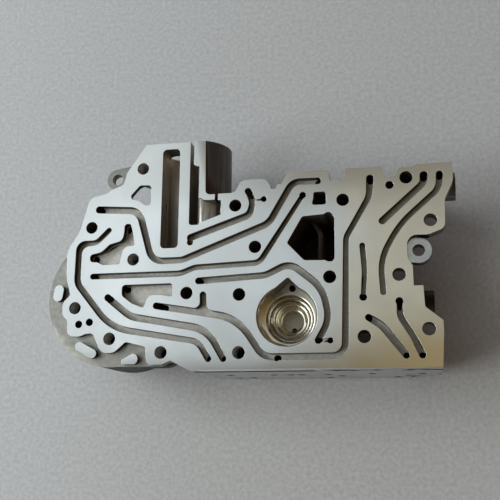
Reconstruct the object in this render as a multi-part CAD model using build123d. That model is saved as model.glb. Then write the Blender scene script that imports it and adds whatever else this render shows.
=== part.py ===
from build123d import *
import os
from math import atan2, degrees, hypot, radians, sin, tan

# Accumulator housing of an automatic gearbox: one aluminium die casting, milled on its channel face.
# Millimetres. X runs to the right and Y up across the channel face, Z is up out of it.
# The mounting plane is z = 0, and depths are measured down from the channel face at z = HEIGHT.

# Casting; what stands under the plate starts at ROOT_DEPTH, inside it
HEIGHT = 54.0
PLATE = 8.0
ROOT_DEPTH = PLATE - 1.0
THIN_WEB, THIN_MARGIN = 3.2, 3.0
WALL = 4.0
RIB = 3.6
RIB_DEPTH = 27.0

# Milled and cast passages in the channel face
CHANNEL_DEPTH = 4.5
PORT_DEPTH = 20.0
CROWN_PORT_DEPTH = 10.0
PORT_WALL = 2.6

# Bolt holes
BOLT_R = 3.3
PILLAR_R = 6.4
TAPPED_DEPTH = 12.0

# Accumulator cup
CUP_X, CUP_Y = -75.0, -22.5
CUP_R = 36.8
CUP_BORE_R = 31.5
CUP_MOUTH_DEPTH = 38.0
CUP_CROWN_DEPTH = 14.0
SHOULDER_DEPTH = 3.0
APRON_X1, APRON_Y = -45.0, -59.1
CUP_BEVEL = 1.0

# Damper bore, stepped, with a pointed notch beside it
DAMPER_X, DAMPER_Y = 19.0, -34.9
DAMPER_STEPS = [(15.0, 12.0), (11.8, 14.8), (9.9, 17.5), (7.9, 20.2), (5.5, 28.0)]
DAMPER_BEVEL = 0.7
DAMPER_FLOOR = 4.0
NOTCH_DEPTH = 12.0
NOTCH_PORT_X, NOTCH_PORT_Y, NOTCH_PORT_R = 20.3, -18.8, 1.75
NOTCH_PORT_DEPTH = 6.0
DRAIN_R, DRAIN_OFFSET = 1.4, 3.9

# Actuator barrel, which lies along Y under the two rod slots; each piston bore has its x, depth, radius and end
BARREL_X, BARREL_DEPTH = -34.0, 17.0
BARREL_R = 19.3
BARREL_WAIST_R = 16.0
BORE_WALL = 3.4
BARREL_Y0, BACK_Y = 2.0, 62.1
WAIST_Y1 = 30.0
PISTON_BORES = [(-43.6, 19.0, 8.0, 2.9), (-26.6, 18.0, 6.8, 12.0)]
PISTON_BEVEL = 1.0
ROD_SLOT = (-48.9, -39.1, 2.9, 58.5)
ROD_SLOT_ROUND = 2.3
LEDGE_DEPTH = 2.6

# Front wall with its row of cross drillings
FRONT_Y = -62.2
FRONT_WALL = 12.0
FRONT_X0, FRONT_X1 = -27.0, 94.5
FRONT_STEP_X, FRONT_STEP_DEPTH = 80.0, 40.0
FRONT_CHAMFER = 0.9
FRONT_OVERHANG = 6.0
DRILLING_R = 1.5
DRILLING_LENGTH = 7.0

# Valve chamber behind the five-sided opening, and the square shaft beside it
CHAMBER_DEPTH = 42.0
CHAMBER_RIB = 2.4
CHAMBER_RIB_DEPTH = 14.0
CHAMBER_RIB_PATH = [
    (31.0, 18.5, CHAMBER_RIB, 0), (35.3, 10.5, CHAMBER_RIB, 3.0), (34.7, -9.0, CHAMBER_RIB, 0),
]
SHAFT_DEPTH = 36.0

# Lugs below the channel face: x, y, radius, arm's reach in x and y, thickness
LUG_DEPTH = 4.0
LUG_HOLE_R = 3.1
LEFT_LUG = (-76.0, 44.3, 6.1, 10.0, 1.5, 5.0)
RIGHT_LUG = (85.5, -2.8, 6.5, -8.0, 1.0, 6.5)

# Horizontal plug bosses on the right side
PLUG_BOSSES = [(34.0, 18.0, 7.5, 86.0, 105.6, 4.0), (-27.0, 15.0, 5.5, 78.0, 92.3, 3.0)]
PLUG_BORE_LENGTH = 12.0

PLATE_OUTLINE = [
    (-58.6, BACK_Y, 0), (-33.35, BACK_Y, 0), (-33.35, 15.0, 1.8), (-30.2, 15.1, 0),
    (-16.0, 20.0, 0), (-15.8, 28.0, 0), (-17.6, 28.2, 0), (-17.6, 31.6, 0),
    (-8.4, 31.6, 3.5), (-5.2, 38.4, 4.5), (8.0, 38.4, 5.0), (10.6, 34.6, 0),
    (11.2, 32.6, 0), (13.4, 32.6, 0), (14.4, 35.0, 0), (16.6, 35.0, 0),
    (20.0, 41.4, 0), (41.0, 41.4, 0), (42.2, 35.2, 0), (49.3, 35.2, 0),
    (50.0, 41.4, 0), (68.9, 41.4, 0), (69.6, 35.6, 0), (75.1, 35.6, 0),
    (77.3, 40.2, 2.5), (83.5, 40.3, 0), (86.6, 41.4, 0), (103.9, 41.4, 0),
    (103.9, 31.5, 8.0), (99.3, 22.0, 6.0), (98.9, 7.3, 4.0), (90.5, 4.1, 6.0),
    (80.0, 4.4, 8.0), (80.0, -7.6, 4.0), (82.3, -11.2, 2.0), (82.4, -21.4, 0),
    (87.0, -21.4, 0), (87.4, -32.0, 2.0), (95.7, -38.8, 0), (95.8, -44.0, 0),
    (94.5, FRONT_Y, 0), (-30.0, FRONT_Y, 8.0), (-36.0, -59.3, 0), (-41.5, -56.5, 0),
    (-46.2, -58.5, 3.0), (-54.2, -58.5, 3.2), (-55.2, -49.2, 0), (-66.0, -46.5, 2.0),
    (-72.4, -52.1, 5.5), (-79.4, -52.1, 5.5), (-84.6, -41.5, 2.2), (-88.6, -41.9, 2.0),
    (-92.0, -43.2, 5.0), (-99.0, -42.9, 6.0), (-99.3, -34.4, 0), (-102.5, -31.3, 4.5),
    (-102.5, -24.8, 4.5), (-98.4, -20.6, 2.0), (-101.2, -11.5, 20.0), (-101.8, 4.0, 12.0),
    (-95.2, 13.8, 20.0), (-89.9, 33.2, 4.5), (-80.4, 35.3, 3.0), (-78.0, 37.2, 3.0),
    (-70.8, 39.8, 3.5), (-69.2, 46.6, 4.0),
]
STRIP_OUTLINE = [
    (-31.3, BACK_Y, 0), (-24.9, BACK_Y, 0), (-24.5, 31.5, 3.2), (-19.3, 31.5, 0.3),
    (-19.3, 28.4, 0.3), (-28.1, 28.4, 5.0), (-28.1, 47.8, 0.6), (-31.3, 49.0, 0.8),
]
NARROW_SLOT = [
    (-33.35, 15.0, 1.8), (-29.2, 15.0, 1.0), (-29.2, 47.8, 1.0), (-31.3, 49.0, 0),
    (-31.3, BACK_Y, 0), (-33.35, BACK_Y, 0),
]
STRIP_LEDGE = [(-30.0, 15.0, 0), (-28.1, 15.0, 0), (-28.1, 47.8, 0.5), (-30.0, 47.8, 0)]
TRIANGLE = [
    (-66.6, 33.1, 1.2), (-61.4, 38.9, 2.2), (-55.0, 38.5, 1.8), (-54.9, 27.3, 1.6),
    (-58.2, 27.3, 2.0), (-62.0, 30.1, 3.0), (-65.8, 31.2, 0.8),
]
CHAMBER = [
    (19.3, 2.9, 1.2), (27.3, 16.7, 2.0), (38.6, 17.4, 0.6), (40.0, 18.3, 0.8),
    (42.0, 18.3, 1.0), (44.0, 15.5, 1.6), (43.8, -6.0, 1.5), (42.6, -7.7, 1.2),
    (40.2, -7.7, 0.8), (39.0, -6.9, 0.5), (28.2, -6.6, 2.5),
]
SHAFT = [(33.4, 29.5, 1.0), (39.7, 29.5, 1.3), (40.0, 22.5, 1.4), (32.3, 22.6, 1.2), (33.3, 26.4, 0.8)]
NOTCH = [(12.2, -21.1, 0), (19.8, -14.9, 1.2), (29.4, -24.7, 0), (19.0, -34.9, 0)]
LEFT_POCKET = [
    (-69.4, 17.4, 1.85), (-65.6, 17.4, 1.85), (-62.9, 5.1, 1.2), (-69.4, 4.9, 5.0),
    (-71.3, -4.8, 1.3), (-81.0, -4.8, 1.5), (-84.3, -3.2, 1.5), (-88.3, -3.1, 1.95),
    (-88.3, 1.0, 1.9), (-82.0, 2.2, 6.0), (-77.4, 6.4, 3.0), (-70.3, 8.2, 5.0), (-69.4, 13.0, 2.0),
]
MIDDLE_POCKET = [
    (-69.3, -16.2, 1.9), (-41.4, -16.1, 1.6), (-41.4, -23.3, 1.0), (-48.5, -22.1, 3.0),
    (-54.4, -22.0, 4.5), (-57.0, -28.9, 1.4), (-63.5, -26.3, 8.0), (-69.3, -22.0, 3.0),
]

# Channels: whether a port opens at the start and at the end, then x, y, width and bend radius along the path
CHANNELS = [
    (True, True, [(-84.4, 26.2, 4.0, 0), (-61.3, 24.5, 4.0, 8.0), (-53.2, -3.9, 3.6, 8.0),
                  (-36.8, -3.9, 3.5, 10.0), (9.9, 13.9, 3.7, 10.0), (22.5, 35.7, 3.6, 6.5), (35.7, 35.5, 3.6, 0)]),
    (True, False, [(-86.1, -11.05, 3.15, 0), (-37.3, -11.05, 3.15, 10.0), (-29.6, -8.1, 3.0, 9.0),
                   (4.9, -6.9, 3.1, 6.0), (27.8, 28.2, 2.4, 0)]),
    (False, True, [(-78.1, 14.3, 2.9, 0), (-84.9, 7.6, 2.9, 6.0), (-94.9, 7.3, 3.5, 6.0), (-94.9, -14.4, 3.7, 8.0),
                   (-74.6, -39.0, 3.5, 28.0), (-27.0, -47.0, 3.0, 8.0), (-21.4, -55.8, 3.4, 0)]),
    (False, True, [(-77.0, -22.8, 3.8, 0), (-63.8, -33.3, 3.8, 14.0), (-22.2, -40.8, 3.8, 18.0),
                   (-13.6, -55.9, 3.4, 0)]),
    (False, True, [(-50.0, -27.9, 3.5, 0), (-6.3, -35.3, 3.8, 26.0), (7.0, -55.4, 3.5, 9.0),
                   (48.1, -55.4, 3.5, 6.6), (49.7, 4.6, 2.9, 8.0), (61.9, 25.6, 3.1, 12.0), (62.6, 35.2, 3.8, 0)]),
    (False, False, [(-24.7, -22.9, 3.6, 0), (-24.4, -31.6, 3.6, 5.0), (-34.0, -30.7, 2.8, 0)]),
    (False, False, [(-24.7, -22.9, 3.6, 0), (-24.4, -31.6, 3.6, 5.0), (-15.0, -33.9, 2.8, 0)]),
    (True, True, [(-27.3, -15.4, 3.6, 0), (8.2, -13.6, 3.4, 10.0), (20.8, -7.6, 3.8, 8.5),
                  (37.4, -21.2, 3.6, 19.5), (40.5, -37.2, 3.2, 16.0), (34.9, -47.5, 3.6, 0)]),
    (False, False, [(-0.7, 31.3, 3.4, 0), (1.1, 25.6, 3.0, 7.0), (-0.3, 19.0, 3.9, 5.0), (-32.2, 8.1, 3.9, 0)]),
    (False, False, [(57.8, -0.1, 2.9, 0), (58.6, -13.0, 2.7, 40.0), (57.6, -26.4, 2.4, 0)]),
    (True, False, [(89.6, 35.3, 4.0, 0), (89.2, 31.0, 3.5, 5.0), (68.2, 12.3, 3.7, 0)]),
    (True, False, [(97.4, 35.3, 3.5, 0), (96.6, 27.7, 3.0, 9.0), (76.6, 10.2, 2.9, 50.0),
                   (66.6, -7.4, 2.9, 34.0), (67.5, -24.3, 2.9, 0)]),
    (True, True, [(59.9, -36.7, 3.4, 0), (66.2, -40.6, 3.8, 20.0), (77.5, -55.5, 3.4, 0)]),
    (False, True, [(75.2, -31.0, 3.0, 0), (75.1, -36.5, 3.0, 9.0), (81.4, -46.8, 3.0, 30.0), (85.2, -55.5, 3.4, 0)]),
]
# Shallow links: x, y, width, bend radius
LINKS = [
    [(35.4, -47.4, 2.0, 0), (41.0, -47.7, 2.0, 0)],
    [(0.6, 30.3, 1.0, 0), (3.6, 26.4, 1.0, 2.5), (7.2, 27.6, 1.0, 0)],
]
LINK_DEPTH = 1.6

# Ports away from a channel's end: x, y, radius
PORTS = [
    (27.8, 28.2, 1.75), (57.6, -26.4, 1.95), (75.2, -29.0, 1.95), (-32.45, 5.6, 1.7), (7.2, 27.2, 1.55),
    (13.8, -55.8, 1.85), (40.9, -47.7, 1.5), (-67.5, 15.4, 1.8), (-86.3, -1.0, 1.9), (-67.5, -18.1, 1.85),
    (-92.7, -36.7, 2.0), (-86.7, -35.7, 2.0),
]
CUP_PORT = (-77.0, -22.8, 1.9)
# Long ports: x and y of both ends, radius
LONG_PORTS = [
    (-50.0, -27.9, -46.0, -28.7, 1.75), (-1.3, 32.1, -0.4, 30.6, 1.75), (75.2, -30.5, 75.1, -31.6, 1.4),
]
DOWEL = (72.4, 31.0, 2.1, 6.0)

THROUGH_BOLTS = [
    (-88.2, 16.2), (-33.7, -21.6), (-5.6, -23.2), (2.6, 1.6), (-8.1, 24.5), (41.1, -15.6),
    (48.5, 24.5), (80.8, 34.6),
]
PLATE_BOLTS = [(91.9, 11.6), (75.5, -15.6), (57.6, -46.1), (88.8, -42.9)]
TAPPED_HOLES = [(-60.0, 48.3), (-46.7, -52.3), (-5.6, -53.0)]
CROWN_HOLES = [(-63.7, -2.5), (-95.4, -27.9), (-75.1, -44.7)]

# Raised pads on the cup's shoulder: both ends and the radius at each
PADS = [
    (-105.1, -17.7, 2.65, -105.6, -21.3, 2.65), (-91.7, -48.4, 2.35, -84.4, -52.3, 2.35),
    (-61.8, -55.5, 2.75, -66.6, -56.7, 1.5),
]

# Cross drillings in the front wall: x, depth
DRILLINGS = [
    (-15.8, 28.0), (8.0, 27.0), (16.8, 27.0), (23.0, 27.0), (36.7, 27.0), (59.9, 25.0), (85.2, 26.0),
    (43.2, 37.0), (78.1, 36.0), (-14.6, 45.0), (-6.1, 44.0), (35.8, 47.0), (72.4, 46.0),
]

# Cast ducts that carry the ports under the plate: both ends and the width
DUCTS = [
    (-84.4, 30.0, -87.0, 20.0, 9.0), (-67.5, 19.5, -67.5, 12.0, 7.5), (-27.3, -11.0, -33.0, -20.0, 8.0),
    (35.8, 24.0, 35.8, 40.2, 8.6), (27.8, 33.0, 24.5, 16.0, 8.0), (62.6, 24.0, 62.6, 40.2, 8.6),
    (93.5, 28.0, 93.5, 40.2, 16.6), (32.0, -47.5, 46.0, -47.5, 8.0), (57.6, -22.0, 59.9, -41.0, 8.6),
    (75.2, -24.5, 75.2, -51.0, 8.6), (7.2, 31.5, 3.0, 8.0, 8.0),
    (-8.1, 24.5, 1.0, 31.5, 9.0),
]
# Ribs under the plate: both ends
RIBS = [
    (-88.2, 16.2, -75.0, 5.0), (-88.2, 16.2, -52.0, 30.0), (-42.0, -28.0, -33.7, -21.6),
    (-33.7, -21.6, -5.6, -23.2), (-5.6, -23.2, 5.0, -30.0), (-5.6, -23.2, 2.6, 1.6),
    (2.6, 1.6, -8.1, 24.5), (-8.1, 24.5, -18.0, 24.5), (2.6, 1.6, 20.0, 3.0),
    (34.0, -26.0, 41.1, -15.6), (41.1, -15.6, 41.1, -8.0), (-5.6, -23.2, -14.0, -52.0),
    (41.1, -15.6, 49.0, -52.0), (48.5, 24.5, 43.0, 14.0), (48.5, 24.5, 80.8, 34.6),
    (44.0, 2.0, 65.0, -9.0), (65.0, -9.0, 73.0, -26.0), (59.9, -37.0, 75.2, -40.0),
    (-33.7, -21.6, -34.0, 4.0), (-30.0, -56.0, -50.0, -44.0),
]


def corner_arc(before, corner, after, radius):
    """Start, middle and end of the arc that rounds a corner, as large as its sides allow."""
    back = before - corner
    ahead = after - corner
    half = radians(back.get_angle(ahead)) / 2
    reach = min(radius / tan(half), 0.48 * min(back.length, ahead.length))
    fitted = reach * tan(half)
    inward = (back.normalized() + ahead.normalized()).normalized()
    middle = corner + inward * (fitted / sin(half) - fitted)
    return corner + back.normalized() * reach, middle, corner + ahead.normalized() * reach


def rounded_edges(points, radii, closed):
    """Lines through the points, joined by arcs at the corners that have a radius."""
    edges = []
    count = len(points)
    bends = []
    for i, (point, radius) in enumerate(zip(points, radii)):
        at_end = not closed and i in (0, count - 1)
        if at_end or radius == 0:
            bends.append((point, None, point))
        else:
            bends.append(corner_arc(points[i - 1], point, points[(i + 1) % count], radius))
    for start, middle, end in bends:
        if middle is not None:
            edges.append(Edge.make_three_point_arc(start, middle, end))
    pairs = list(zip(bends, bends[1:]))
    if closed:
        pairs.append((bends[-1], bends[0]))
    for first, second in pairs:
        edges.append(Edge.make_line(first[2], second[0]))
    return edges


def outline(corners):
    """Face inside a closed outline of (x, y, radius) corners."""
    points = [Vector(x, y) for x, y, _ in corners]
    return Face(Wire(rounded_edges(points, [r for _, _, r in corners], True)))


def channel_face(path):
    """Face of a round-ended channel along (x, y, width, bend radius) points."""
    points = [Vector(x, y) for x, y, _, _ in path]
    steps = [(b - a).normalized() for a, b in zip(points, points[1:])]
    left, right, left_radii, right_radii = [], [], [], []
    for i, (x, y, width, radius) in enumerate(path):
        arriving = steps[max(i - 1, 0)]
        leaving = steps[min(i, len(steps) - 1)]
        normal = (arriving + leaving).normalized().rotate(Axis.Z, 90)
        reach = width / 2 / normal.dot(arriving.rotate(Axis.Z, 90))
        left.append(points[i] + normal * reach)
        right.append(points[i] - normal * reach)
        side = width / 2 if arriving.cross(leaving).Z > 0 else -width / 2
        left_radii.append(max(radius - side, 0.4))
        right_radii.append(max(radius + side, 0.4))
    start_tip = points[0] - steps[0] * (path[0][2] / 2)
    end_tip = points[-1] + steps[-1] * (path[-1][2] / 2)
    edges = rounded_edges(left, left_radii, False) + rounded_edges(right, right_radii, False)
    edges.append(Edge.make_three_point_arc(left[0], start_tip, right[0]))
    edges.append(Edge.make_three_point_arc(left[-1], end_tip, right[-1]))
    return Face(Wire(edges))


def prism(face, top_depth, bottom_depth):
    """Solid of a flat face between two depths below the channel face."""
    return Pos(0, 0, HEIGHT - bottom_depth) * extrude(face, amount=bottom_depth - top_depth, dir=(0, 0, 1))


def post(x, y, radius, top_depth, bottom_depth, foot_radius=None):
    """Upright round solid between two depths, tapered when its foot has a radius of its own."""
    height = bottom_depth - top_depth
    middle = HEIGHT - (top_depth + bottom_depth) / 2
    if foot_radius is None:
        return Pos(x, y, middle) * Cylinder(radius, height)
    return Pos(x, y, middle) * Cone(foot_radius, radius, height)


def bar(x0, y0, x1, y1, width):
    """Face of a straight bar between two points."""
    run = Vector(x1 - x0, y1 - y0)
    middle = Location(((x0 + x1) / 2, (y0 + y1) / 2, 0), (0, 0, degrees(atan2(run.Y, run.X))))
    return middle * Rectangle(run.length, width).face()


def grown(corners, amount):
    """Face inside an outline's sharp corners, moved outwards."""
    return offset(outline([(x, y, 0) for x, y, _ in corners]), amount, kind=Kind.INTERSECTION).face()


def lying_post(start, end, radius, end_radius=None):
    """Round solid between two points, tapered when its end has a radius of its own."""
    axis = Vector(*end) - Vector(*start)
    place = Plane(origin=start, z_dir=axis).location
    lifted = (Align.CENTER, Align.CENTER, Align.MIN)
    if end_radius is None:
        return place * Cylinder(radius, axis.length, align=lifted)
    return place * Cone(radius, end_radius, axis.length, align=lifted)


def plate():
    """Channel plate, with the free strip beside the rod slot."""
    return [prism(outline(PLATE_OUTLINE), 0, PLATE), prism(outline(STRIP_OUTLINE), 0, PLATE)]


def cup():
    """Accumulator cup with its shoulder, apron and raised pads."""
    corners = [(CUP_X, APRON_Y, 3.0), (APRON_X1, APRON_Y, 2.0), (APRON_X1, CUP_Y, 0), (CUP_X, CUP_Y, 0)]
    solids = [
        post(CUP_X, CUP_Y, CUP_R, SHOULDER_DEPTH, CUP_MOUTH_DEPTH),
        prism(outline(corners), SHOULDER_DEPTH, CUP_CROWN_DEPTH),
    ]
    for x0, y0, r0, x1, y1, r1 in PADS:
        solids.append(prism(channel_face([(x0, y0, 2 * r0, 0), (x1, y1, 2 * r1, 0)]), 0, CUP_CROWN_DEPTH))
    return solids


def cup_bore():
    """Hollow of the accumulator cup, with a bevel at its mouth and the port that feeds it."""
    bevel_depth = CUP_MOUTH_DEPTH - CUP_BEVEL
    x, y, radius = CUP_PORT
    return [
        post(CUP_X, CUP_Y, CUP_BORE_R, CUP_CROWN_DEPTH, CUP_MOUTH_DEPTH),
        post(CUP_X, CUP_Y, CUP_BORE_R, bevel_depth, CUP_MOUTH_DEPTH, CUP_BORE_R + CUP_BEVEL),
        post(x, y, radius, 0, CUP_CROWN_DEPTH),
    ]


def barrel():
    """Actuator barrel, thinner under the open pocket, its top milled flush with the plate."""
    z = HEIGHT - BARREL_DEPTH
    x, depth, radius, _ = PISTON_BORES[0]
    solid = lying_post((BARREL_X, BARREL_Y0, z), (BARREL_X, WAIST_Y1, z), BARREL_WAIST_R)
    solid += lying_post((BARREL_X, WAIST_Y1, z), (BARREL_X, BACK_Y, z), BARREL_R)
    solid += lying_post((x, 0, HEIGHT - depth), (x, BACK_Y, HEIGHT - depth), radius + BORE_WALL)
    above = Pos(BARREL_X, (BARREL_Y0 + BACK_Y) / 2, HEIGHT + BARREL_R / 2)
    return [solid - above * Box(2 * BARREL_R, BACK_Y, BARREL_R)]


def rod_slots():
    """Piston bores and the two slots that open them to the channel face."""
    cuts = []
    for x, depth, radius, y_end in PISTON_BORES:
        z = HEIGHT - depth
        cuts.append(lying_post((x, y_end, z), (x, BACK_Y, z), radius))
        cuts.append(lying_post((x, BACK_Y - PISTON_BEVEL, z), (x, BACK_Y, z), radius, radius + PISTON_BEVEL))
    x0, x1, y0, y1 = ROD_SLOT
    corners = [(x0, y0), (x1, y0), (x1, y1), (x0, y1)]
    cuts.append(prism(outline([(x, y, ROD_SLOT_ROUND) for x, y in corners]), 0, PISTON_BORES[0][1]))
    cuts.append(prism(outline(NARROW_SLOT), 0, PISTON_BORES[1][1]))
    cuts.append(prism(outline(STRIP_LEDGE), 0, LEDGE_DEPTH))
    return cuts


def front_wall():
    """Front wall, shallower past its step on the right."""
    section = outline([(FRONT_X0, 0, 1.0), (FRONT_STEP_X, 0, 2.0),
                       (FRONT_STEP_X, HEIGHT - FRONT_STEP_DEPTH, 2.0),
                       (FRONT_X1, HEIGHT - FRONT_STEP_DEPTH, 1.0), (FRONT_X1, HEIGHT, 0), (FRONT_X0, HEIGHT, 0)])
    upright = Plane((0, FRONT_Y, 0), x_dir=(1, 0, 0), z_dir=(0, -1, 0)).location * section
    return [extrude(upright, amount=FRONT_WALL, dir=(0, 1, 0))]


def front_bevel():
    """Bevel along the front edge of the channel face."""
    section = Face(Wire.make_polygon([
        (0, FRONT_Y, HEIGHT), (0, FRONT_Y + FRONT_CHAMFER, HEIGHT), (0, FRONT_Y, HEIGHT - FRONT_CHAMFER)]))
    length = FRONT_X1 - FRONT_X0 + 2 * FRONT_OVERHANG
    return [Pos(FRONT_X0 - FRONT_OVERHANG, 0, 0) * extrude(section, amount=length, dir=(1, 0, 0))]


def front_drillings():
    """Cross drillings in the front wall."""
    inside = FRONT_Y + DRILLING_LENGTH
    return [lying_post((x, FRONT_Y, HEIGHT - d), (x, inside, HEIGHT - d), DRILLING_R) for x, d in DRILLINGS]


def damper_boss():
    """Boss that carries the stepped bore and its notch."""
    bottom = DAMPER_STEPS[-1][1] + DAMPER_FLOOR
    return [
        post(DAMPER_X, DAMPER_Y, DAMPER_STEPS[0][0] + WALL, ROOT_DEPTH, NOTCH_DEPTH + NOTCH_PORT_DEPTH + WALL),
        post(DAMPER_X, DAMPER_Y, DAMPER_STEPS[3][0] + WALL, ROOT_DEPTH, bottom),
        prism(grown(NOTCH, WALL), ROOT_DEPTH, NOTCH_DEPTH + NOTCH_PORT_DEPTH + WALL),
    ]


def damper_bore():
    """Stepped bore turned into the channel face, each step bevelled, with its notch and small ports."""
    cuts = []
    top = 0
    for radius, depth in DAMPER_STEPS:
        cuts.append(post(DAMPER_X, DAMPER_Y, radius, top, depth))
        cuts.append(post(DAMPER_X, DAMPER_Y, radius + DAMPER_BEVEL, top, top + DAMPER_BEVEL, radius))
        top = depth
    cuts.append(prism(outline(NOTCH), 0, NOTCH_DEPTH))
    cuts.append(post(NOTCH_PORT_X, NOTCH_PORT_Y, NOTCH_PORT_R, NOTCH_DEPTH, NOTCH_DEPTH + NOTCH_PORT_DEPTH))
    cuts.append(post(DAMPER_X, DAMPER_Y - DRAIN_OFFSET, DRAIN_R, top, top + DAMPER_FLOOR))
    return cuts


def chambers():
    """Walls of the valve chamber and of the square shaft."""
    return [
        prism(grown(CHAMBER, WALL), ROOT_DEPTH, CHAMBER_DEPTH + WALL),
        prism(grown(SHAFT, WALL), ROOT_DEPTH, SHAFT_DEPTH + WALL),
    ]


def chamber_hollows():
    """Hollows of the valve chamber, which keeps a bent rib, and of the square shaft."""
    rib = prism(channel_face(CHAMBER_RIB_PATH), CHAMBER_RIB_DEPTH, CHAMBER_DEPTH)
    return [prism(outline(CHAMBER), 0, CHAMBER_DEPTH) - rib, prism(outline(SHAFT), 0, SHAFT_DEPTH)]


def thin_web():
    """The opening in the thin corner of the plate, and the relief under it."""
    return [prism(outline(TRIANGLE), 0, PLATE), prism(grown(TRIANGLE, THIN_MARGIN), THIN_WEB, PLATE)]


def bolt_bosses():
    """Pillars down to the mounting plane, and bosses under the tapped holes."""
    solids = [post(x, y, PILLAR_R, ROOT_DEPTH, HEIGHT) for x, y in THROUGH_BOLTS]
    return solids + [post(x, y, PILLAR_R, ROOT_DEPTH, TAPPED_DEPTH + WALL) for x, y in TAPPED_HOLES]


def bolt_holes():
    """Bolt holes, through the pillars and the plate, and tapped ones."""
    ends = [(x, y, HEIGHT) for x, y in THROUGH_BOLTS + PLATE_BOLTS]
    ends += [(x, y, TAPPED_DEPTH) for x, y in TAPPED_HOLES + CROWN_HOLES]
    return [post(x, y, BOLT_R, 0, depth) for x, y, depth in ends]


def port_depth(x, y):
    """Depth of a port, which stops short of the accumulator bore where it lies over it."""
    over_cup = hypot(x - CUP_X, y - CUP_Y) < CUP_R
    return CROWN_PORT_DEPTH if over_cup else PORT_DEPTH


def ports():
    """Ports drilled down from the channels, and the dowel hole."""
    places = list(PORTS)
    for at_start, at_end, path in CHANNELS:
        places += [(x, y, width / 2) for x, y, width, _ in path[:at_start]]
        places += [(x, y, width / 2) for x, y, width, _ in path[len(path) - at_end:]]
    cuts = [post(x, y, radius, 0, port_depth(x, y)) for x, y, radius in places]
    for x0, y0, x1, y1, radius in LONG_PORTS:
        path = [(x0, y0, 2 * radius, 0), (x1, y1, 2 * radius, 0)]
        cuts.append(prism(channel_face(path), 0, port_depth(x0, y0)))
    x, y, radius, depth = DOWEL
    return cuts + [post(x, y, radius, 0, depth)]


def channels():
    """Channels, links and pockets sunk in the channel face."""
    cuts = [prism(channel_face(path), 0, CHANNEL_DEPTH) for _, _, path in CHANNELS]
    cuts += [prism(channel_face(path), 0, LINK_DEPTH) for path in LINKS]
    for pocket in (LEFT_POCKET, MIDDLE_POCKET):
        cuts.append(prism(outline(pocket), 0, CHANNEL_DEPTH))
    return cuts


def lugs():
    """Fixing lugs below the channel face, on the left and on the right."""
    solids = []
    for x, y, radius, reach_x, reach_y, thickness in (LEFT_LUG, RIGHT_LUG):
        arm = channel_face([(x, y, 2 * radius, 0), (x + reach_x, y + reach_y, 2 * radius, 0)])
        solids.append(prism(arm, LUG_DEPTH, LUG_DEPTH + thickness))
    return solids


def lug_holes():
    """Holes of the two lugs."""
    return [post(x, y, LUG_HOLE_R, 0, LUG_DEPTH + thickness) for x, y, _, _, _, thickness in (LEFT_LUG, RIGHT_LUG)]


def plug_bosses():
    """Horizontal bosses on the right side."""
    return [lying_post((x0, y, HEIGHT - d), (x1, y, HEIGHT - d), r) for y, d, r, x0, x1, _ in PLUG_BOSSES]


def plug_bores():
    """Bores in the ends of the horizontal bosses."""
    cuts = []
    for y, d, _, _, x1, bore in PLUG_BOSSES:
        cuts.append(lying_post((x1 - PLUG_BORE_LENGTH, y, HEIGHT - d), (x1, y, HEIGHT - d), bore))
    return cuts


def ribs():
    """Ducts and ribs under the plate, between its bosses and walls."""
    solids = [prism(bar(*duct), ROOT_DEPTH, PORT_DEPTH + PORT_WALL) for duct in DUCTS]
    return solids + [prism(bar(*ends, RIB), ROOT_DEPTH, RIB_DEPTH) for ends in RIBS]


def housing():
    """The whole casting, standing on its mounting plane with the base's middle at the origin."""
    solids = plate() + cup() + barrel() + front_wall() + damper_boss() + chambers() + bolt_bosses()
    solids += lugs() + plug_bosses() + ribs()
    body = solids[0].fuse(*solids[1:])
    cuts = cup_bore() + rod_slots() + front_bevel() + front_drillings() + damper_bore() + chamber_hollows()
    cuts += thin_web() + bolt_holes() + ports() + channels() + lug_holes() + plug_bores()
    body = body.cut(*cuts)
    middle = body.bounding_box().center()
    return Pos(-middle.X, -middle.Y, 0) * body


os.makedirs("parts", exist_ok=True)
export_step(housing(), "parts/accumulator_housing.step")
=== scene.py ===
import math

import bmesh
import bpy
from bpy.props import FloatProperty, FloatVectorProperty, IntProperty, PointerProperty
from bpy.types import NodeSocket, Operator, Panel, PropertyGroup
from mathutils import Matrix, Vector
from mathutils.bvhtree import BVHTree


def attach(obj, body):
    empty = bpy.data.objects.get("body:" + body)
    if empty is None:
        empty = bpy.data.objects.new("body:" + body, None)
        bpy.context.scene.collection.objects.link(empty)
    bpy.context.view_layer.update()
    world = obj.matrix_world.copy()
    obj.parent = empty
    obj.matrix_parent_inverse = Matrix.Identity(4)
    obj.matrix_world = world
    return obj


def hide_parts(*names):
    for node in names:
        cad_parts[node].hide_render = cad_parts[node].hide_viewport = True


bl_info = {
    "name": "Accumulator Housing",
    "version": (1, 0, 0),
    "blender": (4, 5, 0),
    "location": "View3D > Sidebar > Housing",
    "description": "Finishes a die-cast accumulator housing and sets it on a lit floor",
    "category": "Object",
}

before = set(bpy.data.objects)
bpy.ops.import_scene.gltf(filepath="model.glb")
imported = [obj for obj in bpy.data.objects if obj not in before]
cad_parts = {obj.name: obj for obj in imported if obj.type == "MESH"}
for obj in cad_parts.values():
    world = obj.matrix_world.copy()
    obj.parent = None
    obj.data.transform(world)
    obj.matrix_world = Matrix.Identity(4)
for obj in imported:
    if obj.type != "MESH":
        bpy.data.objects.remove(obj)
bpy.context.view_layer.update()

NODE = "accumulator_housing"
MM = 0.001

# Kinds of surface, in the order of the casting's material slots
SURFACES = (
    "milled", "cast", "floor", "wall", "turned", "bore", "waist", "flank", "hole", "chamber", "port", "lug",
    "front",
)

# All places and sizes of the casting below are in the row frame and in millimetres

# Heights of the channel face and of the channels' floors, and how near a height has to be to count as one
FACE_Z = 54.0
CHANNEL_FLOORS = (49.5, 52.4)
NEAR = 0.05

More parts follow.
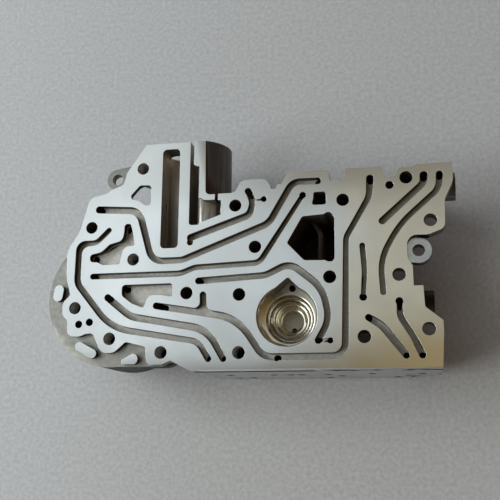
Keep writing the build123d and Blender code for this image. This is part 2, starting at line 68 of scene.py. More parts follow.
# Front wall: its plane, where its chamfer starts (y, z), and the back and top of the cross drillings
FRONT_Y = -62.1
CHAMFER = (-61.0, 53.0)
DRILLINGS_BACK_Y = -55.0
DRILLINGS_TOP_Z = 48.0

# Dark broken line along the front wall: its height, half its width, and where it has faded out
DARK_LINE_Z = 50.4
DARK_LINE_HALF = 2.5
DARK_LINE_EDGE = 3.3

# Damper: centre of its bore, radii of the turned rings and of the whole bore, heights just below and above
# its bottom, and how far behind the centre its notch begins
DAMPER = (22.1, -34.85)
DAMPER_RINGS_R = 15.2
DAMPER_R = 15.8
DAMPER_BOTTOM = (25.5, 26.5)
NOTCH_BEHIND = 10.0

# Damper's steps: radius within which they lie, and how far below the face they start
STEPS_R = 13.5
STEPS_DEPTH = 5.0

# Port in the damper's notch: centre, radius with some room, and the height that it starts at
DAMPER_PORT = (23.4, -18.75)
DAMPER_PORT_R = 1.9
DAMPER_PORT_Z = 42.1

# Barrel: its piston bores (x, height, radius), the room round them, its front, and the block of the slots
# (left, right, lowest height)
PISTON_BORES = [(-40.5, 35.0, 8.0), (-23.5, 36.0, 6.8)]
BORE_ROOM = 1.2
BARREL_FRONT_Y = 2.0
SLOTS = (-47.0, -25.0, 30.0)

# Places in plan, each with its left, front, right and back side: the barrel's thin part, its rounded flank,
# the valve chamber and the square shaft, and the visible parts of the plug bosses
WAIST_PLACE = (-31.0, 14.0, -12.0, 31.6)
FLANK_PLACE = (-22.0, 31.6, -11.0, 62.4)
DEEP_PLACES = [(22.0, -8.0, 47.4, 18.8), (35.2, 22.3, 43.4, 29.9)]
PLUG_BOSSES = [(82.0, -33.0, 96.0, -21.0), (99.5, 10.0, 109.0, 26.0)]
PLUG_BOSS_HEIGHTS = (28.0, 45.0)

# Lug on the right: x, y and height of its top, then its radius with some room
RIGHT_LUG = (88.6, -2.75, 50.0)
RIGHT_LUG_R = 8.0

# Widths across which a wall faces another one: in a port, in a bolt hole, and in any opening
PORT_WIDTH = 4.4
HOLE_WIDTH = 7.4
OPENING_WIDTH = 17.0
PORT_REACH = 4.6

# Upright and flank faces: limits of their normals
UPRIGHT = 0.3
LEVEL = 0.99
WAIST_UP = 0.2
FLANK_OUT = 0.3
FLANK_DOWN = -0.1

# Tapped holes: x, y, depth
TAPPED_HOLES = [
    (-56.9, 48.35, 12.0), (-43.6, -52.25, 12.0), (-2.5, -52.95, 12.0),
    (-60.6, -2.45, 12.0), (-92.3, -27.85, 12.0), (-72.0, -44.65, 12.0),
]

# Threads: plain depth below them, how far their root lies in the wall, half the crest, and half the root as
# a share of the pitch
THREAD_RUNOUT = 0.6
THREAD_ROOT = 0.03
THREAD_CREST = 0.08
THREAD_FOOT = 0.46

# Mesh of the casting: distance that welds points, and angles in degrees of flat and of sharp edges
WELD = 0.002
FLAT_DEGREES = 0.4
SHARP_DEGREES = 50

# Stage in plan, in metres: the floor, the card overhead and the sheets that stand round the part
FLOOR = [(-3, -3), (3, -3), (3, 3), (-3, 3)]
OVERHEAD = [(-0.75, -0.15), (-0.75, 0.6), (0.35, 0.6), (0.35, -0.15)]
ROOM_RUN = [(0.45, -0.9), (0.75, -0.4), (0.75, 0.5), (0.5, 1.2)]
FRONT_RUN = [(-1.1, -1.3), (0.3, -1.4)]
BACK_RUN = [(-1.9, 1.2), (-0.6, 2.0), (0.6, 1.9)]

# Window: place and aim in metres, side length in metres, power in watts
WINDOW_PLACE = (-1.9, 0.05, 1.5)
WINDOW_AIM = (0, 0, 0.03)
WINDOW_SIZE = 2.4
WINDOW_POWER = 91.0

# Brightness of the sheets of light and of the haze
ROOM_GLOW = 1.0
FRONT_GLOW = 1.4
BACK_GLOW = 1.6
HAZE_GLOW = 0.13

# Overhead card, in metres: the span of its bands, then each band's place along the span, colour, brightness
CARD_SPAN = (-0.7, 0.3)
CARD_BANDS = [
    (0.12, "cool", 1.06), (0.25, "cool", 1.26), (0.43, "cool", 0.92),
    (0.60, "cool", 0.68), (0.69, "beige", 0.66), (0.80, "beige", 0.60),
]

# Camera, fitted to the photo: place in millimetres, then its right, up and backward directions
CAMERA_PLACE = (84.55, -96.01, 443.93)
CAMERA_RIGHT = (0.97916, 0.00632, -0.20298)
CAMERA_UP = (0.04156, 0.97212, 0.23079)
CAMERA_BACK = (0.19878, -0.23442, 0.95160)
CAMERA_LENS = 56.88
SENSOR_WIDTH = 36.0

# Sockets of a Mix node that take its two colours, and the one that gives the mixed colour
FIRST, SECOND, MIXED = 6, 7, 2

# Range within which most of a noise pattern's values lie
NOISE_RANGE = (0.3, 0.7)


def linear(code):
    """Linear red, green and blue of an sRGB hex colour."""
    parts = [int(code[i:i + 2], 16) / 255 for i in (1, 3, 5)]
    return tuple(c / 12.92 if c <= 0.04045 else ((c + 0.055) / 1.055) ** 2.4 for c in parts)


def colour_property(name, code, description):
    """A colour property whose default is an sRGB hex colour."""
    return FloatVectorProperty(name=name, description=description, subtype="COLOR", size=3, min=0, max=1,
                               default=linear(code))


def length_property(name, millimetres, description, lowest=0.0):
    """A length property whose default and lowest value are given in millimetres."""
    return FloatProperty(name=name, description=description, default=millimetres * MM, min=lowest * MM,
                         precision=5, unit="LENGTH")


class HousingSizes(PropertyGroup):
    """Sizes of the finish."""

    rim_break: length_property("Rim break", 0.06, "Width of the broken edge round holes and channels")
    floor_round: length_property("Floor rounding", 0.5, "Rounding along the floors of the channels")
    drilling_break: length_property("Drilling break", 0.8, "Width of the bevel round the front drillings")
    step_round: length_property("Step rounding", 0.85, "Rounding of the damper bore's turned steps")
    thread_start: length_property("Thread start", 1.3, "Depth at which the threads begin")
    thread_pitch: length_property("Thread pitch", 1.25, "Distance between the threads of a tapped hole", 0.2)
    thread_depth: length_property("Thread depth", 0.35, "Height of the thread's ridge", 0.05)
    hole_radius: length_property("Hole radius", 3.3, "Radius of the tapped holes", 0.5)
    thread_steps: IntProperty(
        name="Thread steps", description="Segments in one turn of the thread", default=28, min=8)


class HousingColours(PropertyGroup):
    """Colours of the casting, of its surroundings and of the lights."""

    milled: colour_property("Milled", "#dfe2e2", "Milled channel face and front wall")
    cast: colour_property("As cast", "#8b8a84", "Skin of the casting where no tool touched it")
    channel: colour_property("Channel floor", "#cac9c2", "Floors of the channels")
    # Painted shade: the dark colour of the channel walls and the plug bosses
    wall: colour_property("Channel wall", "#57524a", "Walls of the channels, and the plug bosses")
    # Painted reflection: the faint golden tint of the turned steps
    turned: colour_property("Turned", "#d4cfc0", "Turned steps of the damper bore")
    # Painted light: the pale colour of the barrel's thin part and of the damper's deep bottom
    waist: colour_property("Waist", "#dedcd4", "Blasted top of the barrel, where it is thinner")
    # Painted reflection and shade: the dark brown of the barrel's flank
    flank: colour_property("Flank", "#5d534c", "Rounded flank of the barrel")
    # Painted shade: the brownish grey of the bolt holes
    hole: colour_property("Hole", "#9d9388", "Bolt holes")
    # Painted shade: the dark brownish colour of the valve chamber and the square shaft
    chamber: colour_property("Chamber", "#746b60", "Valve chamber and the square shaft")
    # Painted reflection: the bluish silver of the right lug's top
    lug: colour_property("Lug", "#ccd8e8", "Top of the lug on the right")
    # Painted shade: the nearly black colour of the narrow ports
    port: colour_property("Port", "#2a2521", "Narrow ports")
    thread: colour_property("Thread", "#d2d0cc", "Threads of the tapped holes")
    # Painted reflection and shade: the brownish colour of the piston bores and slots
    bore: colour_property("Bore", "#b3aa99", "Piston bores and slots of the barrel")
    floor: colour_property("Floor", "#bababa", "Floor under the part")
    cool: colour_property("Cool light", "#e9f0f2", "Daylight from the left")
    sky: colour_property("Sky light", "#d5e2f4", "Bluish daylight from behind")
    warm: colour_property("Warm reflection", "#a08c5f", "Dim warm surroundings overhead on the right")
    dusk: colour_property("Dusk reflection", "#938c7d", "Dim surroundings overhead, front and back")
    beige: colour_property("Beige light", "#e8e2cd", "Warm daylight overhead on the right")
    haze: colour_property("Haze", "#dcbc92", "Weak warm light from all sides")
    room: colour_property("Room", "#5c4530", "Dim brown surroundings to the right of the part")


def add(tree, kind, inputs=None, **settings):
    """One node with its settings, and its inputs linked or set."""
    node = tree.nodes.new(kind)
    for name, value in settings.items():
        setattr(node, name, value)
    for key, value in (inputs or {}).items():
        if isinstance(value, NodeSocket):
            tree.links.new(value, node.inputs[key])
        else:
            node.inputs[key].default_value = value
    return node


def new_tree(name):
    """A material and its empty node tree."""
    material = bpy.data.materials.new(name)
    material.use_nodes = True
    material.node_tree.nodes.clear()
    return material, material.node_tree


def noise(tree, size_mm, detail=3.0, stretch=(1.0, 1.0, 1.0)):
    """A noise pattern whose patches have about this size, longer along a stretched axis."""
    place = add(tree, "ShaderNodeTexCoord").outputs["Object"]
    shrunk = add(tree, "ShaderNodeVectorMath", {0: place, 1: stretch}, operation="DIVIDE").outputs[0]
    inputs = {"Vector": shrunk, "Scale": 1000.0 / size_mm, "Detail": detail}
    return add(tree, "ShaderNodeTexNoise", inputs).outputs["Fac"]


def wander(tree, size_mm, low, high, detail=3.0, stretch=(1.0, 1.0, 1.0)):
    """A value that drifts between low and high, in patches of about this size."""
    inputs = {"Value": noise(tree, size_mm, detail, stretch), "From Min": NOISE_RANGE[0],
              "From Max": NOISE_RANGE[1], "To Min": low, "To Max": high}
    return add(tree, "ShaderNodeMapRange", inputs).outputs["Result"]


def shade(colour, factor):
    """A colour made darker or lighter, as a node input."""
    return tuple(c * factor for c in colour) + (1.0,)


def metal(name, colour, rough, patch, grain, stretch=(1.0, 1.0, 1.0)):
    """Aluminium with soft patches of brightness and roughness, and a fine grain.

    The roughness is given for its brightest and its dullest patches. Patch and grain are each a size in
    millimetres and a depth from 0 to 1.
    """
    patch_mm, patch_depth = patch
    grain_mm, grain_depth = grain
    material, tree = new_tree(name)
    patches = wander(tree, patch_mm, 0.0, 1.0, stretch=stretch)
    tint = add(tree, "ShaderNodeMix", {"Factor": patches, FIRST: shade(colour, 1.0 - patch_depth),
                                       SECOND: shade(colour, 1.0)}, data_type="RGBA")
    dulling = add(tree, "ShaderNodeMapRange", {"Value": patches, "To Min": rough[1], "To Max": rough[0]})
    bump = add(tree, "ShaderNodeBump", {"Height": noise(tree, grain_mm, stretch=stretch),
                                        "Strength": grain_depth, "Distance": 0.1 * MM})
    surface = add(tree, "ShaderNodeBsdfPrincipled", {
        "Base Color": tint.outputs[MIXED], "Metallic": 1.0, "Roughness": dulling.outputs["Result"],
        "Normal": bump.outputs["Normal"]})
    add(tree, "ShaderNodeOutputMaterial", {"Surface": surface.outputs["BSDF"]})
    return material


def make_materials(colours):
    """The materials of the casting, by the kind of surface."""
    return {
        # Milled face: finely cut and bright, almost a mirror, with soft cloudy patches
        "milled": metal("milled_aluminium_face", colours.milled, rough=(0.10, 0.17), patch=(16.0, 0.06),
                        grain=(0.8, 0.02)),
        # Die-cast skin: matte, light warm grey with a fine sandy grain
        "cast": metal("as_cast_aluminium", colours.cast, rough=(0.48, 0.60), patch=(3.0, 0.12),
                      grain=(0.9, 0.8)),
        # Channel floors: cast metal, light grey and sandy
        "floor": metal("channel_floor_aluminium", colours.channel, rough=(0.60, 0.72), patch=(2.0, 0.14),
                       grain=(0.9, 0.6)),
        # Channel walls: rougher, as the cutter left them, and dark grey-brown, a painted shade that also
        # darkens the plug bosses
        "wall": metal("channel_wall_aluminium", colours.wall, rough=(0.42, 0.55), patch=(6.0, 0.12),
                      grain=(0.5, 0.15)),
        # Turned steps of the damper bore: bright and smooth, and faintly golden, a painted warm reflection
        "turned": metal("turned_aluminium", colours.turned, rough=(0.18, 0.25), patch=(12.0, 0.05),
                        grain=(0.5, 0.03)),
        # Piston bores and rod slots: duller, and brownish, a painted reflection and shade in their colour
        "bore": metal("bored_aluminium", colours.bore, rough=(0.45, 0.55), patch=(9.0, 0.12),
                      grain=(0.5, 0.08)),
        # Thin part of the barrel and the damper's bottom: matte and pale silvery; the pale colour is painted
        # light, which also lifts the deep bottom of the damper bore out of its shade
        "waist": metal("blasted_aluminium", colours.waist, rough=(0.62, 0.72), patch=(5.0, 0.08),
                       grain=(0.6, 0.30)),
        # Rounded flank of the barrel: smooth, and coloured as brown as the photo shows it: a painted dark
        # reflection and shade
        "flank": metal("smooth_flank_aluminium", colours.flank, rough=(0.32, 0.40), patch=(8.0, 0.08),
                       grain=(0.8, 0.10)),
        # Bolt holes: dull metal, brownish grey, a painted shade of their insides
        "hole": metal("drilled_hole_aluminium", colours.hole, rough=(0.50, 0.62), patch=(5.0, 0.20),
                      grain=(0.5, 0.10)),
        # Valve chamber and square shaft: quite matte cast metal, dark brownish, a painted shade of these deep
        # hollows
        "chamber": metal("oily_chamber_aluminium", colours.chamber, rough=(0.75, 0.85), patch=(5.0, 0.20),
                         grain=(0.8, 0.30)),
        # Narrow ports: cast metal, nearly black, a painted shade of their narrow depths
        "port": metal("oily_port_aluminium", colours.port, rough=(0.45, 0.60), patch=(4.0, 0.20),
                      grain=(0.8, 0.30)),
        # Top of the right lug: bright and bluish silver, a painted cool reflection, with a fine grain
        "lug": metal("machined_lug_aluminium", colours.lug, rough=(0.22, 0.32), patch=(5.0, 0.08),
                     grain=(0.8, 0.20)),
        # Milled front wall: a little duller than the face, and darker, its colour a painted shade of the
        # face's, with mill marks and a dark broken line along it
        "front": with_dark_line(metal("milled_aluminium_wall", shade(colours.milled, 0.72)[:3], rough=(0.10, 0.20),
                              patch=(1.2, 0.10), grain=(1.5, 0.35), stretch=(12.0, 1.0, 1.0))),
    }


def with_dark_line(material):
    """The wall's material with a dark broken line just under its chamfer."""
    tree = material.node_tree
    output = tree.nodes["Material Output"].inputs["Surface"]
    clean = output.links[0].from_socket
    place = add(tree, "ShaderNodeTexCoord").outputs["Object"]
    height = add(tree, "ShaderNodeSeparateXYZ", {"Vector": place}).outputs["Z"]
    away = add(tree, "ShaderNodeMath", {0: height, 1: DARK_LINE_Z * MM}, operation="SUBTRACT").outputs[0]
    distance = add(tree, "ShaderNodeMath", {0: away}, operation="ABSOLUTE").outputs[0]
    line = add(tree, "ShaderNodeMapRange", {"Value": distance, "From Min": DARK_LINE_HALF * MM,
                                            "From Max": DARK_LINE_EDGE * MM, "To Min": 1.0, "To Max": 0.0})
    dashes = add(tree, "ShaderNodeMapRange", {"Value": noise(tree, 14.0, 2.0), "From Min": 0.42,
                                              "From Max": 0.52})
    factor = add(tree, "ShaderNodeMath", {0: line.outputs["Result"], 1: dashes.outputs["Result"]},
                 operation="MULTIPLY").outputs[0]
    dark = add(tree, "ShaderNodeBsdfDiffuse", {"Color": shade((1.0, 0.95, 0.9), 0.03)})
    mix = add(tree, "ShaderNodeMixShader", {0: factor, 1: clean, 2: dark.outputs["BSDF"]})
    tree.links.new(mix.outputs["Shader"], output)
    return material


def flat_distance(point, place):
    """Distance in plan between a point and a place."""
    return math.hypot(point.x - place[0], point.y - place[1])


def inside(point, place):
    """True for a point between a place's left, front, right and back sides in plan."""
    left, front, right, back = place
    return left < point.x < right and front < point.y < back


def in_piston_bore(centre):
    """True for a place on the wall or at the mouth of a piston bore."""
    return any(math.hypot(centre.x - x, centre.z - z) < radius + BORE_ROOM for x, z, radius in PISTON_BORES)


def walled_in(faces_tree, start):
    """True if narrow walls stand round a point on all four sides."""
    sides = [Vector((1, 0, 0)), Vector((-1, 0, 0)), Vector((0, 1, 0)), Vector((0, -1, 0))]
    return all(faces_tree.ray_cast(start, side, PORT_REACH * MM)[0] is not None for side in sides)


def surface_of(face, faces_tree):
    """The kind of surface a face of the casting belongs to."""
    middle = face.calc_center_median()
    centre = middle / MM
    normal = face.normal
    level = abs(normal.z) > LEVEL
    upright = abs(normal.z) < UPRIGHT
    if level and centre.z > FACE_Z - NEAR:
        return "milled"
    if level and min(abs(centre.z - z) for z in CHANNEL_FLOORS) < NEAR:
        return "floor"
    if centre.y < CHAMFER[0] and centre.z > CHAMFER[1]:
        return "milled"
    # The right lug's top takes the bluish lug colour: painted reflection
    if level and flat_distance(centre, RIGHT_LUG) < RIGHT_LUG_R and abs(centre.z - RIGHT_LUG[2]) < NEAR:
        return "lug"
    # Plug bosses take the dark wall colour: painted shade
    low, high = PLUG_BOSS_HEIGHTS
    if any(inside(centre, place) for place in PLUG_BOSSES) and low < centre.z < high:
        return "wall"
    # Channel walls take the dark wall colour: painted shade
    if upright and min(v.co.z for v in face.verts) > (CHANNEL_FLOORS[0] - NEAR) * MM:
        return "wall"
    # The damper's port takes the nearly black port colour: painted shade
    if flat_distance(centre, DAMPER_PORT) < DAMPER_PORT_R and centre.z < DAMPER_PORT_Z:
        return "port"
    if flat_distance(centre, DAMPER) < DAMPER_R and centre.z > DAMPER_BOTTOM[0]:
        return damper_surface(centre, level)
    # The front cross drillings take the nearly black port colour: painted shade
    if FRONT_Y < centre.y < DRILLINGS_BACK_Y and centre.z < DRILLINGS_TOP_Z:
        return "port"
    # The valve chamber and the square shaft take the chamber colour: painted shade
    if any(inside(centre, place) for place in DEEP_PLACES):
        return "chamber"
    # The barrel's thin part takes the pale waist colour: painted light
    if inside(centre, WAIST_PLACE) and normal.z > WAIST_UP:
        return "waist"
    # The barrel's flank takes the dark brown flank colour: painted reflection and shade
    if inside(centre, FLANK_PLACE) and normal.x > FLANK_OUT and normal.z > FLANK_DOWN:
        return "flank"
    # Piston bores take the brownish bore colour: painted reflection and shade
    if centre.y > BARREL_FRONT_Y and in_piston_bore(centre):
        return "bore"
    start = middle + normal * 0.02 * MM
    if upright:
        return wall_surface(centre, faces_tree.ray_cast(start, normal, OPENING_WIDTH * MM)[3])
    # Floors walled in by narrow walls take the nearly black port colour: painted shade
    return "port" if normal.z > 0 and walled_in(faces_tree, start) else "cast"


def damper_surface(centre, level):
    """The kind of surface at a place in the damper's bore."""
    # The damper's deep bottom takes the pale waist colour: painted light in place of its shade
    if centre.z < DAMPER_BOTTOM[1]:
        return "waist"
    if level and centre.y > DAMPER[1] + NOTCH_BEHIND:
        return "floor"
    # The damper's notch wall beyond the rings takes the brownish bore colour: painted reflection and shade
    return "turned" if level or flat_distance(centre, DAMPER) < DAMPER_RINGS_R else "bore"


def wall_surface(centre, across):
    """The kind of surface of an upright face, by the distance to what it faces in metres, if anything."""
    if across is None:
        # The front wall takes the darkened front colour: painted shade
        return "front" if centre.y < FRONT_Y + 0.1 else "cast"
    left, right, lowest = SLOTS
    # The barrel's slots take the brownish bore colour: painted reflection and shade
    if centre.y > BARREL_FRONT_Y and left < centre.x < right and centre.z > lowest:
        return "bore"
    # Narrow openings take the nearly black port colour: painted shade
    if across < PORT_WIDTH * MM:
        return "port"
    # Bolt holes take the brownish grey hole colour: painted shade
    return "hole" if across < HOLE_WIDTH * MM else "cast"


def edge_middle(edge):
    """Middle of an edge, in millimetres."""
    return (edge.verts[0].co + edge.verts[1].co) / 2 / MM


def edge_is_level(edge):
    """True for an edge that lies in one horizontal plane."""
    return abs(edge.verts[0].co.z - edge.verts[1].co.z) < WELD * MM


def sharp(edge, degrees=40.0):
    """True for an edge between two faces that meet at a marked angle."""
    return len(edge.link_faces) == 2 and edge.calc_face_angle(0) > math.radians(degrees)


def is_channel_floor_edge(edge):
    """True for an edge between a channel's floor and its wall, away from the ports."""
    on_floor = abs(edge_middle(edge).z - CHANNEL_FLOORS[0]) < 0.02
    if not sharp(edge) or edge.is_convex or not edge_is_level(edge) or not on_floor:
        return False
    lowest = min(other.co.z for vert in edge.verts for link in vert.link_edges for other in link.verts)
    return lowest > (CHANNEL_FLOORS[0] - NEAR) * MM


def is_damper_step_edge(edge):
    """True for an edge round one of the damper bore's turned steps."""
    middle = edge_middle(edge)
    on_step = flat_distance(middle, DAMPER) < STEPS_R and DAMPER_BOTTOM[1] < middle.z < FACE_Z - STEPS_DEPTH
    return on_step and edge_is_level(edge) and sharp(edge, 30.0)


def is_drilling_edge(edge):
    """True for an edge round a cross drilling in the front wall."""
    on_front = max(v.co.y for v in edge.verts) < FRONT_Y * MM and edge_middle(edge).z < 50.0
    return on_front and sharp(edge, 60.0) and edge.is_convex and edge.calc_length() < 1.0 * MM


def is_rim_edge(edge):
    """True for an edge round an opening in the milled face, or of its outline."""
    return sharp(edge) and edge.is_convex and edge_middle(edge).z > FACE_Z - 0.02


def round_edges(bm, chosen, width, segments, surface):
    """Rounds the chosen edges by a width and returns the new faces, which get this kind of surface."""
    edges = [edge for edge in bm.edges if chosen(edge)]
    rounding = bmesh.ops.bevel(bm, geom=edges, offset=width, offset_type="OFFSET", segments=segments,
                               profile=0.5, affect="EDGES", clamp_overlap=False, material=-1)
    for face in rounding["faces"]:
        face.material_index = SURFACES.index(surface)
    bm.normal_update()
    return rounding["faces"]


def casting_mesh(sizes):
    """The CAD casting as one welded mesh with rounded floors and broken edges."""
    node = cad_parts[NODE]
    bm = bmesh.new()
    bm.from_mesh(node.data)
    bm.transform(node.matrix_world)
    bmesh.ops.remove_doubles(bm, verts=bm.verts, dist=WELD * MM)
    bmesh.ops.dissolve_limit(bm, angle_limit=math.radians(FLAT_DEGREES), verts=bm.verts, edges=bm.edges)
    bm.normal_update()
    faces_tree = BVHTree.FromBMesh(bm)
    for face in bm.faces:
        face.material_index = SURFACES.index(surface_of(face, faces_tree))
    round_edges(bm, is_channel_floor_edge, sizes.floor_round, 3, "floor")
    round_edges(bm, is_damper_step_edge, sizes.step_round, 4, "turned")
    # The bevels round the front drillings take the nearly black port colour: painted shade
    for face in round_edges(bm, is_drilling_edge, sizes.drilling_break, 2, "port"):
        # Painted glint: the right side of each bevel, which faces the window, gets the bright face's metal
        if face.normal.x < -0.3:
            face.material_index = SURFACES.index("milled")
    round_edges(bm, is_rim_edge, sizes.rim_break, 2, "milled")
    mesh = bpy.data.meshes.new("machined_casting")
    bm.to_mesh(mesh)
    bm.free()
    return mesh


def link_piece(name, mesh, materials):
    """An object for a mesh, in the scene and with its materials."""
    piece = bpy.data.objects.new(name, mesh)
    for material in materials:
        mesh.materials.append(material)
    bpy.context.scene.collection.objects.link(piece)
    return piece


class HOUSING_OT_casting(Operator):
    """Builds the casting with its broken edges and its machined and cast surfaces"""

    bl_idname = "housing.casting"
    bl_label = "Casting"

    def execute(self, context):
        materials = make_materials(context.scene.housing_colours)
        mesh = casting_mesh(context.scene.housing_sizes)
        piece = link_piece("machined_casting", mesh, [materials[kind] for kind in SURFACES])
        mesh.shade_smooth()
        mesh.set_sharp_from_angle(angle=math.radians(SHARP_DEGREES))
        normals = piece.modifiers.new("face_weighted_normals", "WEIGHTED_NORMAL")
        normals.keep_sharp = True
        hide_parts(NODE)
        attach(piece, "root")
        return {"FINISHED"}


def thread_ridge(bm, x, y, depth, sizes):
    """Sweeps the ridge's cross-section down one tapped hole, as a right-hand helix."""
    turns = (depth * MM - sizes.thread_start - THREAD_RUNOUT * MM) / sizes.thread_pitch
    steps = int(turns * sizes.thread_steps)
    top = Vector((x, y, FACE_Z)) * MM - Vector((0, 0, sizes.thread_start))
    outer = sizes.hole_radius + THREAD_ROOT * MM
    inner = outer - sizes.thread_depth
    foot = THREAD_FOOT * sizes.thread_pitch
    crest = THREAD_CREST * MM
    outline = [(outer, foot), (inner, crest), (inner, -crest), (outer, -foot)]
    corners = [bm.verts.new(top + Vector((out, 0, up))) for out, up in outline]
    start = bm.faces.new(corners)
    bmesh.ops.spin(bm, geom=[start, *start.edges, *corners], cent=top, axis=(0, 0, 1),
                   dvec=(0, 0, -sizes.thread_pitch / sizes.thread_steps),
                   angle=-2 * math.pi * steps / sizes.thread_steps, steps=steps)


class HOUSING_OT_threads(Operator):
    """Adds the threads of the tapped holes"""

    bl_idname = "housing.threads"
    bl_label = "Threads"

    def execute(self, context):
        bm = bmesh.new()
        for x, y, depth in TAPPED_HOLES:
            thread_ridge(bm, x, y, depth, context.scene.housing_sizes)
        bmesh.ops.recalc_face_normals(bm, faces=bm.faces)
        mesh = bpy.data.meshes.new("tapped_threads")
        bm.to_mesh(mesh)
        bm.free()
        # Thread flanks: cut metal, bare and greyish, which scatters what little light gets in
        material = metal("threaded_aluminium", context.scene.housing_colours.thread, rough=(0.50, 0.65),
                         patch=(4.0, 0.2), grain=(0.4, 0.1))
        piece = link_piece("tapped_threads", mesh, [material])
        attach(piece, "root")
        return {"FINISHED"}


def stage_sheet(name, corners, height, rise=0.0):
    """A sheet of the stage, in metres: flat over its corners, or standing on them where it has a rise."""
    bm = bmesh.new()
    verts = [bm.verts.new((x, y, height)) for x, y in corners]
    if rise:
        run = [bm.edges.new(pair) for pair in zip(verts, verts[1:])]
        raised = bmesh.ops.extrude_edge_only(bm, edges=run)["geom"]
        tops = [part for part in raised if isinstance(part, bmesh.types.BMVert)]
        bmesh.ops.translate(bm, verts=tops, vec=(0, 0, rise))
    else:
        bm.faces.new(verts)
    mesh = bpy.data.meshes.new(name)
    bm.to_mesh(mesh)
    bm.free()
    return mesh


def floor_material(colour):
    """Pale matte sheet with a faint fine mottle."""
    material, tree = new_tree("pale_floor")
    mottle = wander(tree, 2.2, 0.0, 1.0, 4.0)
    mix = add(tree, "ShaderNodeMix", {"Factor": mottle, FIRST: shade(colour, 0.86),
                                      SECOND: shade(colour, 1.09)}, data_type="RGBA")
    surface = add(tree, "ShaderNodeBsdfPrincipled", {"Base Color": mix.outputs[MIXED], "Roughness": 0.75})
    add(tree, "ShaderNodeOutputMaterial", {"Surface": surface.outputs["BSDF"]})
    return material


def card_bands(tree, across, colours):
    """The card's bands of light from left to right, as a colour."""
    span = add(tree, "ShaderNodeMapRange", {"Value": across, "From Min": CARD_SPAN[0],
                                            "From Max": CARD_SPAN[1]})
    ramp = add(tree, "ShaderNodeValToRGB", {"Fac": span.outputs["Result"]})
    points = ramp.color_ramp.elements
    for _ in CARD_BANDS[len(points):]:
        points.new(0.5)
    for point, (position, colour, brightness) in zip(points, CARD_BANDS):
        point.position = position
        point.color = shade(getattr(colours, colour), brightness)
    return ramp.outputs["Color"]


def card_front(tree, left_right, rippled):
    """Share of the dim zone in front, whose slanting border is further back on the right."""
    border = add(tree, "ShaderNodeMapRange", {"Value": left_right, "From Min": -0.13, "From Max": 0.12,
                                              "To Min": 0.036, "To Max": 0.086}).outputs["Result"]
    beyond = add(tree, "ShaderNodeMath", {0: rippled, 1: border}, operation="SUBTRACT").outputs[0]
    return add(tree, "ShaderNodeMapRange", {"Value": beyond, "From Min": 0.018, "From Max": -0.010},
               interpolation_type="SMOOTHSTEP").outputs["Result"]


def card_back(tree, left_right, rippled):
    """Share of the dim zone at the back, weaker towards the left."""
    far = add(tree, "ShaderNodeMapRange", {"Value": rippled, "From Min": 0.316, "From Max": 0.350},
              interpolation_type="SMOOTHSTEP").outputs["Result"]
    share = add(tree, "ShaderNodeMapRange", {"Value": left_right, "From Min": -0.30, "From Max": -0.05,
                                             "To Min": 0.25, "To Max": 1.0}).outputs["Result"]
    return add(tree, "ShaderNodeMath", {0: far, 1: share}, operation="MULTIPLY").outputs[0]


def card_streak(tree, across, along):
    """Factor that dims a narrow slanting streak of the card."""
    slope = add(tree, "ShaderNodeMath", {0: across, 1: -0.27, 2: -0.147}, operation="MULTIPLY_ADD")
    offset = add(tree, "ShaderNodeMath", {0: along, 1: slope.outputs[0]}, operation="ADD").outputs[0]
    distance = add(tree, "ShaderNodeMath", {0: offset}, operation="ABSOLUTE").outputs[0]
    return add(tree, "ShaderNodeMapRange", {"Value": distance, "From Min": 0.0, "From Max": 0.02,
                                            "To Min": 0.74, "To Max": 1.0}).outputs["Result"]


def card_material(colours):
    """Light overhead that the face mirrors: cool on the left, beige on the right, dim in front and behind."""
    material, tree = new_tree("overhead_card")
    place = add(tree, "ShaderNodeTexCoord").outputs["Object"]
    split = add(tree, "ShaderNodeSeparateXYZ", {"Vector": place})
    left_right, front_back = split.outputs["X"], split.outputs["Y"]
    cloud = wander(tree, 160.0, -0.07, 0.07)
    ripple = wander(tree, 60.0, -0.012, 0.012)
    across = add(tree, "ShaderNodeMath", {0: left_right, 1: cloud}, operation="ADD").outputs[0]
    along = add(tree, "ShaderNodeMath", {0: front_back, 1: cloud}, operation="SUBTRACT").outputs[0]
    rippled = add(tree, "ShaderNodeMath", {0: front_back, 1: ripple}, operation="ADD").outputs[0]
    rightward = add(tree, "ShaderNodeMapRange", {"Value": across, "From Min": -0.12, "From Max": 0.08})
    dim = add(tree, "ShaderNodeMix", {"Factor": rightward.outputs["Result"],
                                      FIRST: shade(colours.dusk, 0.58),
                                      SECOND: shade(colours.warm, 1.0)}, data_type="RGBA")
    lit = add(tree, "ShaderNodeMix", {"Factor": card_front(tree, left_right, rippled),
                                      FIRST: card_bands(tree, across, colours),
                                      SECOND: dim.outputs[MIXED]}, data_type="RGBA")
    whole = add(tree, "ShaderNodeMix", {"Factor": card_back(tree, left_right, rippled),
                                        FIRST: lit.outputs[MIXED],
                                        SECOND: shade(colours.dusk, 0.95)}, data_type="RGBA")
    patches = wander(tree, 45.0, 0.90, 1.09)
    strength = add(tree, "ShaderNodeMath", {0: patches, 1: card_streak(tree, across, along)},
                   operation="MULTIPLY").outputs[0]
    light = add(tree, "ShaderNodeEmission", {"Color": whole.outputs[MIXED], "Strength": strength})
    add(tree, "ShaderNodeOutputMaterial", {"Surface": light.outputs["Emission"]})
    return material


def glow_material(name, colour, brightness):
    """A plain sheet of light."""
    material, tree = new_tree(name)
    light = add(tree, "ShaderNodeEmission", {"Color": shade(colour, 1.0), "Strength": brightness})
    add(tree, "ShaderNodeOutputMaterial", {"Surface": light.outputs["Emission"]})
    return material


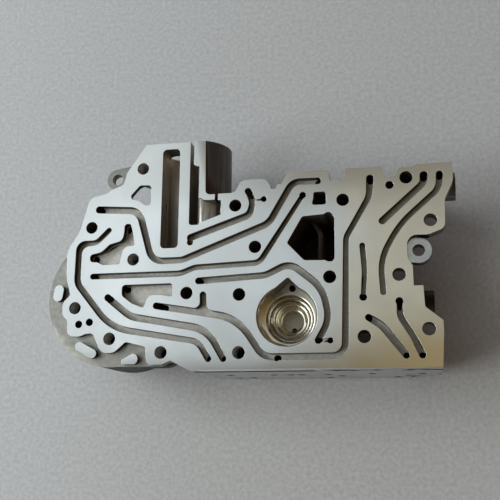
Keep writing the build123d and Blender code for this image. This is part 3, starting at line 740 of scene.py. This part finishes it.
def add_window(scene, colour):
    """The soft square light of the window, on the left."""
    data = bpy.data.lights.new("window", "AREA")
    data.size = WINDOW_SIZE
    data.energy = WINDOW_POWER
    data.color = colour
    light = bpy.data.objects.new("window", data)
    light.location = WINDOW_PLACE
    light.rotation_euler = (Vector(WINDOW_PLACE) - Vector(WINDOW_AIM)).to_track_quat("Z", "Y").to_euler()
    scene.collection.objects.link(light)


def add_haze(scene, colour):
    """The weak light from all sides."""
    world = bpy.data.worlds.new("room")
    world.use_nodes = True
    background = world.node_tree.nodes["Background"]
    background.inputs["Color"].default_value = shade(colour, 1.0)
    background.inputs["Strength"].default_value = HAZE_GLOW
    scene.world = world


def add_camera(scene):
    """The camera of the photo."""
    data = bpy.data.cameras.new("photo_camera")
    data.lens = CAMERA_LENS
    data.sensor_width = SENSOR_WIDTH
    data.clip_start = 0.01
    data.clip_end = 20.0
    camera = bpy.data.objects.new("photo_camera", data)
    axes = Matrix((CAMERA_RIGHT, CAMERA_UP, CAMERA_BACK)).transposed()
    camera.matrix_world = Matrix.Translation(Vector(CAMERA_PLACE) * MM) @ axes.to_4x4()
    scene.collection.objects.link(camera)
    scene.camera = camera


class HOUSING_OT_stage(Operator):
    """Sets the floor, the lights and the camera of the photo"""

    bl_idname = "housing.stage"
    bl_label = "Stage"

    def execute(self, context):
        scene = context.scene
        colours = scene.housing_colours
        room_glow = glow_material("dark_room", colours.room, ROOM_GLOW)
        front_glow = glow_material("front_glow", colours.cool, FRONT_GLOW)
        back_glow = glow_material("back_glow", colours.sky, BACK_GLOW)
        sheets = [
            ("floor", floor_material(colours.floor), stage_sheet("floor", FLOOR, 0.0)),
            ("overhead_card", card_material(colours), stage_sheet("overhead_card", OVERHEAD, 1.0)),
            ("dark_room", room_glow, stage_sheet("dark_room", ROOM_RUN, 0.0, 1.3)),
            ("front_card", front_glow, stage_sheet("front_card", FRONT_RUN, 0.1, 0.5)),
            ("back_card", back_glow, stage_sheet("back_card", BACK_RUN, 0.1, 1.4)),
        ]
        for name, material, mesh in sheets:
            link_piece(name, mesh, [material])
        add_window(scene, colours.cool)
        add_haze(scene, colours.haze)
        add_camera(scene)
        scene.view_settings.view_transform = "Standard"
        return {"FINISHED"}


class HOUSING_PT_panel(Panel):
    """Sizes, colours and steps of the housing"""

    bl_idname = "HOUSING_PT_panel"
    bl_label = "Accumulator Housing"
    bl_space_type = "VIEW_3D"
    bl_region_type = "UI"
    bl_category = "Housing"

    def draw(self, context):
        layout = self.layout
        for group in (context.scene.housing_sizes, context.scene.housing_colours):
            for name in group.__annotations__:
                layout.prop(group, name)
        for step in STEPS:
            layout.operator(step.bl_idname)


STEPS = (HOUSING_OT_casting, HOUSING_OT_threads, HOUSING_OT_stage)
CLASSES = (HousingSizes, HousingColours, *STEPS, HOUSING_PT_panel)


def register():
    """Adds the classes and the scene's settings."""
    for cls in CLASSES:
        bpy.utils.register_class(cls)
    bpy.types.Scene.housing_sizes = PointerProperty(type=HousingSizes)
    bpy.types.Scene.housing_colours = PointerProperty(type=HousingColours)


def unregister():
    """Takes the classes and the scene's settings away."""
    del bpy.types.Scene.housing_colours
    del bpy.types.Scene.housing_sizes
    for cls in reversed(CLASSES):
        bpy.utils.unregister_class(cls)


def main():
    """Builds the scene."""
    register()
    bpy.ops.housing.casting()
    bpy.ops.housing.threads()
    bpy.ops.housing.stage()


if __name__ == "__main__":
    main()
